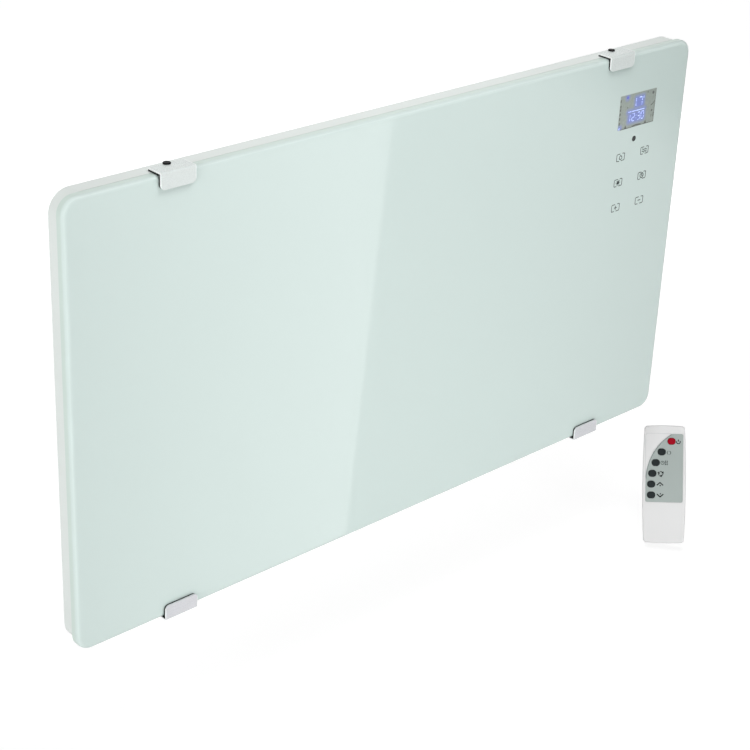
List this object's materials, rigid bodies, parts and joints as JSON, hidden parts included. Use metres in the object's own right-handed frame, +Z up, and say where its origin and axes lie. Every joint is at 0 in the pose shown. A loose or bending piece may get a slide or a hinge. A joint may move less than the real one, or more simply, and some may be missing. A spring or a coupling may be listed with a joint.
{
  "type": "glass panel heater",
  "caption": "Wall-hung electric panel heater with a back-painted glass front held by angle clips, a display with touch keys behind the glass and an infrared handset.",
  "frame": {"origin": "on the wall plane, at the centre of the wall rail's screw pattern", "axes": "+X to the viewer's right along the glass, +Y into the wall, +Z up"},
  "size_m": [0.887, 0.1254, 0.6314],
  "materials": {
    "glass_white": "back-painted white, polished",
    "seal_rubber": "soft, pale",
    "film_carbon": "printed carbon film",
    "brass": "plain",
    "insulation": "felted mineral board",
    "casing_white": "white powder coat",
    "clip_white": "white satin paint",
    "black_rubber": "matte",
    "black_steel": "black oxide",
    "zinc_steel": "zinc plated",
    "display_grey": "backlit display",
    "board_green": "solder mask",
    "nylon_white": "moulded",
    "touch_foam": "conductive foam",
    "black_plastic": "moulded",
    "ribbon_grey": "flat cable",
    "relay_blue": "moulded",
    "block_white": "moulded",
    "lead_red": "silicone wire",
    "rocker_black": "moulded",
    "remote_white": "moulded",
    "remote_grey": "satin",
    "button_dark": "soft",
    "button_red": "soft",
    "key_rubber": "soft",
    "led_lens": "dark clear",
    "cell_wrap": "wrapped steel can",
    "contact_plate": "nickel plated"
  },
  "bodies": {
    "heater": {"glass_panel": "glass_white", "glass_seal": "seal_rubber", "heating_film": "film_carbon", "film_terminals": "brass", "insulation_board": "insulation", "casing_tray": "casing_white", "control_housing": "casing_white", "spacer_posts": "casing_white", "clip_top_left": "clip_white", "clip_top_right": "clip_white", "clip_bottom_left": "clip_white", "clip_bottom_right": "clip_white", "clip_pads": "black_rubber", "spacer_tips": "black_rubber", "clip_screws": "black_steel", "clip_nuts": "zinc_steel", "housing_screws": "zinc_steel", "hanger_rail": "zinc_steel", "hanger_rivets": "zinc_steel", "wall_rail": "zinc_steel", "lcd_module": "display_grey", "display_board": "board_green", "power_board": "board_green", "display_standoffs": "nylon_white", "board_standoffs": "nylon_white", "touch_pads": "touch_foam", "ir_receiver": "black_plastic", "buzzer": "black_plastic", "switch_frame": "black_plastic", "cable_gland": "black_plastic", "gland_nut": "black_plastic", "room_sensor": "black_plastic", "smoothing_capacitor": "black_plastic", "supply_block": "black_plastic", "thermal_cutout": "black_plastic", "display_ribbon": "ribbon_grey", "relays": "relay_blue", "terminal_block": "block_white", "heater_leads": "lead_red"},
    "power_rocker": {"power_rocker": "rocker_black"},
    "remote": {"remote_front_shell": "remote_white", "remote_rear_shell": "remote_white", "remote_face_plate": "remote_grey", "remote_key_sheet": "key_rubber", "remote_board": "board_green", "remote_led": "led_lens", "remote_cells": "cell_wrap", "remote_contacts": "contact_plate"},
    "button_down": {"remote_button_down": "button_dark"},
    "button_up": {"remote_button_up": "button_dark"},
    "button_cycle": {"remote_button_cycle": "button_dark"},
    "button_program": {"remote_button_program": "button_dark"},
    "button_mode": {"remote_button_mode": "button_dark"},
    "button_power": {"remote_button_power": "button_red"},
    "battery_door": {"remote_battery_door": "remote_white"}
  },
  "joints": [
    {"name": "rocker_tip", "type": "hinge", "parent": "heater", "child": "power_rocker", "pos_m": [0.269, -0.018, -0.112], "axis": [0, -1, 0], "range_deg": [0, 18]},
    {"name": "remote_lift", "type": "slide", "parent": "heater", "child": "remote", "axis": [-0.7028, -0.5211, 0.4843], "range_m": [0, 0.3]},
    {"name": "press_down", "type": "slide", "parent": "remote", "child": "button_down", "axis": [0.7028, 0.5211, -0.4843], "range_m": [0, 0.0008], "stiffness_N_per_m": 1200},
    {"name": "press_up", "type": "slide", "parent": "remote", "child": "button_up", "axis": [0.7028, 0.5211, -0.4843], "range_m": [0, 0.0008], "stiffness_N_per_m": 1200},
    {"name": "press_cycle", "type": "slide", "parent": "remote", "child": "button_cycle", "axis": [0.7028, 0.5211, -0.4843], "range_m": [0, 0.0008], "stiffness_N_per_m": 1200},
    {"name": "press_program", "type": "slide", "parent": "remote", "child": "button_program", "axis": [0.7028, 0.5211, -0.4843], "range_m": [0, 0.0008], "stiffness_N_per_m": 1200},
    {"name": "press_mode", "type": "slide", "parent": "remote", "child": "button_mode", "axis": [0.7028, 0.5211, -0.4843], "range_m": [0, 0.0008], "stiffness_N_per_m": 1200},
    {"name": "press_power", "type": "slide", "parent": "remote", "child": "button_power", "axis": [0.7028, 0.5211, -0.4843], "range_m": [0, 0.0008], "stiffness_N_per_m": 1200},
    {"name": "battery_door_swing", "type": "hinge", "parent": "remote", "child": "battery_door", "pos_m": [0.43712, -0.0736, -0.43545], "axis": [0.6334, -0.7683, 0.0924], "range_deg": [0, 70]}
  ]
}
